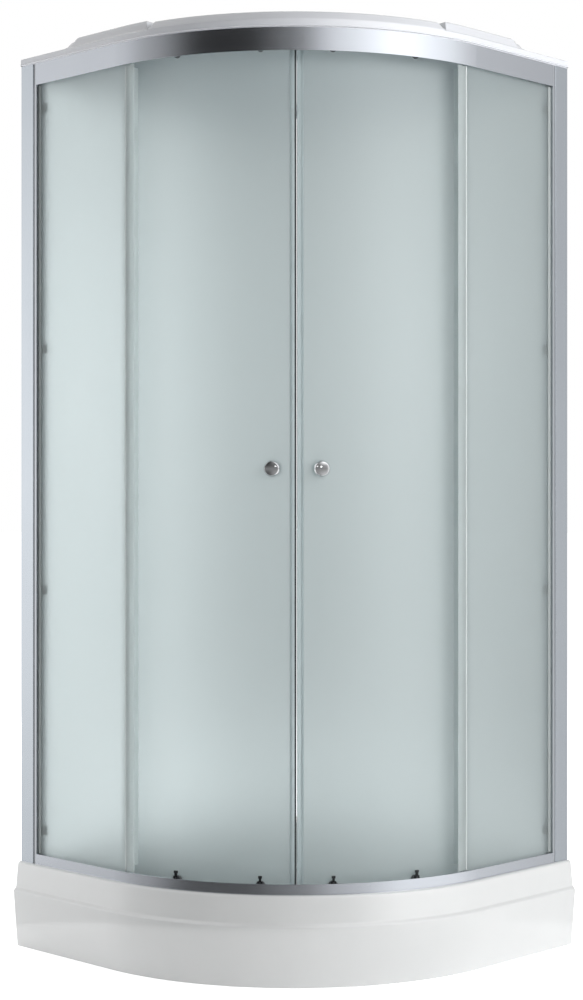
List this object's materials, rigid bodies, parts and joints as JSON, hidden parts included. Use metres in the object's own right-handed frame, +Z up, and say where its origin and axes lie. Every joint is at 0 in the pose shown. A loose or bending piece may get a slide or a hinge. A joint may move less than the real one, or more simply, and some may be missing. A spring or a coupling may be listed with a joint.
{
  "type": "quadrant shower enclosure",
  "caption": "Quadrant corner shower enclosure with a deep stepped tray, flat frosted side panels, curved frosted doors rolling on hidden wheels, chrome knobs and a moulded roof.",
  "frame": {"origin": "on the floor, at the centre of the 900 by 900 mm square that the tray fills", "axes": "+Z up; the room's walls are the planes X = -0.45 and Y = +0.45; the curved front faces +X and -Y, and the plane X = -Y through the corner is the plane of symmetry"},
  "size_m": [0.9, 0.9, 2.031],
  "materials": {
    "acrylic_white": "smooth moulded gloss",
    "satin_aluminium": "satin anodised",
    "frosted_glass": "frosted pale grey-green",
    "clear_plastic": "translucent extrusion",
    "grey_rubber": "soft matt seal",
    "black_rubber": "matt",
    "chrome_plate": "polished plate",
    "grey_plastic": "moulded satin",
    "black_plastic": "moulded matt",
    "white_plastic": "moulded matt",
    "white_nylon": "turned nylon",
    "painted_steel": "powder coat",
    "zinc_steel": "bright zinc plate",
    "spring_steel": "drawn wire"
  },
  "bodies": {
    "enclosure": {"tray_shell": "acrylic_white", "underframe": "painted_steel", "leg_rods": "zinc_steel", "leg_feet": "black_plastic", "waste_trap": "white_plastic", "waste_seal": "black_rubber", "waste_cover": "chrome_plate", "head_rail": "satin_aluminium", "sill_rail": "satin_aluminium", "frame_screws": "zinc_steel", "glass_clips": "grey_plastic", "rail_gaskets": "grey_rubber", "door_stops": "grey_rubber", "roof_cover": "acrylic_white", "roof_screws": "zinc_steel", "wall_channel_left": "satin_aluminium", "wall_channel_right": "satin_aluminium", "post_left": "satin_aluminium", "post_right": "satin_aluminium", "fixed_glass_left": "frosted_glass", "fixed_glass_right": "frosted_glass", "post_gasket_left": "grey_rubber", "post_gasket_right": "grey_rubber", "edge_strip_left": "clear_plastic", "edge_strip_right": "clear_plastic", "roof_angle_left": "satin_aluminium", "roof_angle_right": "satin_aluminium"},
    "door_left": {"door_glass_left": "frosted_glass", "magnet_seal_left": "clear_plastic", "trail_seal_left": "clear_plastic", "knob_outer_left": "chrome_plate", "knob_inner_left": "chrome_plate", "upper_rollers_left": "grey_plastic", "lower_rollers_left": "grey_plastic", "roller_bolts_left": "chrome_plate", "button_spring_front_left": "spring_steel", "button_spring_rear_left": "spring_steel"},
    "wheel_upper_front_left": {"upper_wheel_front_left": "white_nylon"},
    "wheel_lower_front_left": {"lower_wheel_front_left": "white_nylon"},
    "button_front_left": {"release_button_front_left": "black_plastic"},
    "wheel_upper_rear_left": {"upper_wheel_rear_left": "white_nylon"},
    "wheel_lower_rear_left": {"lower_wheel_rear_left": "white_nylon"},
    "button_rear_left": {"release_button_rear_left": "black_plastic"},
    "door_right": {"door_glass_right": "frosted_glass", "magnet_seal_right": "clear_plastic", "trail_seal_right": "clear_plastic", "knob_outer_right": "chrome_plate", "knob_inner_right": "chrome_plate", "upper_rollers_right": "grey_plastic", "lower_rollers_right": "grey_plastic", "roller_bolts_right": "chrome_plate", "button_spring_front_right": "spring_steel", "button_spring_rear_right": "spring_steel"},
    "wheel_upper_front_right": {"upper_wheel_front_right": "white_nylon"},
    "wheel_lower_front_right": {"lower_wheel_front_right": "white_nylon"},
    "button_front_right": {"release_button_front_right": "black_plastic"},
    "wheel_upper_rear_right": {"upper_wheel_rear_right": "white_nylon"},
    "wheel_lower_rear_right": {"lower_wheel_rear_right": "white_nylon"},
    "button_rear_right": {"release_button_rear_right": "black_plastic"}
  },
  "joints": [
    {"name": "door_left_roll", "type": "hinge", "parent": "enclosure", "child": "door_left", "pos_m": [-0.123, 0.123, 1.09], "axis": [0, 0, -1], "range_deg": [0, 21]},
    {"name": "door_right_roll", "type": "hinge", "parent": "enclosure", "child": "door_right", "pos_m": [-0.123, 0.123, 1.09], "axis": [0, 0, 1], "range_deg": [0, 21]},
    {"name": "wheel_upper_front_left_spin", "type": "hinge", "parent": "door_left", "child": "wheel_upper_front_left", "pos_m": [0.19095, -0.30128, 1.9738], "axis": [0.5948, -0.8039, 0], "range_deg": [0, 965]},
    {"name": "button_front_left_press", "type": "slide", "parent": "door_left", "child": "button_front_left", "axis": [0, 0, -1], "range_m": [0, 0.0018], "stiffness_N_per_m": 900, "springref_m": -0.002, "deforming": ["button_spring_front_left"]},
    {"name": "wheel_upper_rear_left_spin", "type": "hinge", "parent": "door_left", "child": "wheel_upper_rear_left", "pos_m": [0.01805, -0.3856, 1.9738], "axis": [0.2672, -0.9636, 0], "range_deg": [0, 965]},
    {"name": "button_rear_left_press", "type": "slide", "parent": "door_left", "child": "button_rear_left", "axis": [0, 0, -1], "range_m": [0, 0.0018], "stiffness_N_per_m": 900, "springref_m": -0.002, "deforming": ["button_spring_rear_left"]},
    {"name": "wheel_upper_front_right_spin", "type": "hinge", "parent": "door_right", "child": "wheel_upper_front_right", "pos_m": [0.30128, -0.19095, 1.9738], "axis": [0.8039, -0.5948, 0], "range_deg": [-965, 0]},
    {"name": "button_front_right_press", "type": "slide", "parent": "door_right", "child": "button_front_right", "axis": [0, 0, -1], "range_m": [0, 0.0018], "stiffness_N_per_m": 900, "springref_m": -0.002, "deforming": ["button_spring_front_right"]},
    {"name": "wheel_upper_rear_right_spin", "type": "hinge", "parent": "door_right", "child": "wheel_upper_rear_right", "pos_m": [0.3856, -0.01805, 1.9738], "axis": [0.9636, -0.2672, 0], "range_deg": [-965, 0]},
    {"name": "button_rear_right_press", "type": "slide", "parent": "door_right", "child": "button_rear_right", "axis": [0, 0, -1], "range_m": [0, 0.0018], "stiffness_N_per_m": 900, "springref_m": -0.002, "deforming": ["button_spring_rear_right"]},
    {"name": "wheel_lower_front_left_spin", "type": "hinge", "parent": "button_front_left", "child": "wheel_lower_front_left", "pos_m": [0.19095, -0.30128, 0.1992], "axis": [0.5948, -0.8039, 0], "range_deg": [-2017, 0]},
    {"name": "wheel_lower_rear_left_spin", "type": "hinge", "parent": "button_rear_left", "child": "wheel_lower_rear_left", "pos_m": [0.01805, -0.3856, 0.1992], "axis": [0.2672, -0.9636, 0], "range_deg": [-2017, 0]},
    {"name": "wheel_lower_front_right_spin", "type": "hinge", "parent": "button_front_right", "child": "wheel_lower_front_right", "pos_m": [0.30128, -0.19095, 0.1992], "axis": [0.8039, -0.5948, 0], "range_deg": [0, 2017]},
    {"name": "wheel_lower_rear_right_spin", "type": "hinge", "parent": "button_rear_right", "child": "wheel_lower_rear_right", "pos_m": [0.3856, -0.01805, 0.1992], "axis": [0.9636, -0.2672, 0], "range_deg": [0, 2017]}
  ],
  "couplings": [
    {"joint": "wheel_upper_front_left_spin", "follows": "door_left_roll", "ratio": 45.896},
    {"joint": "wheel_lower_front_left_spin", "follows": "door_left_roll", "ratio": -95.964},
    {"joint": "wheel_upper_rear_left_spin", "follows": "door_left_roll", "ratio": 45.896},
    {"joint": "wheel_lower_rear_left_spin", "follows": "door_left_roll", "ratio": -95.964},
    {"joint": "wheel_upper_front_right_spin", "follows": "door_right_roll", "ratio": -45.896},
    {"joint": "wheel_lower_front_right_spin", "follows": "door_right_roll", "ratio": 95.964},
    {"joint": "wheel_upper_rear_right_spin", "follows": "door_right_roll", "ratio": -45.896},
    {"joint": "wheel_lower_rear_right_spin", "follows": "door_right_roll", "ratio": 95.964}
  ]
}
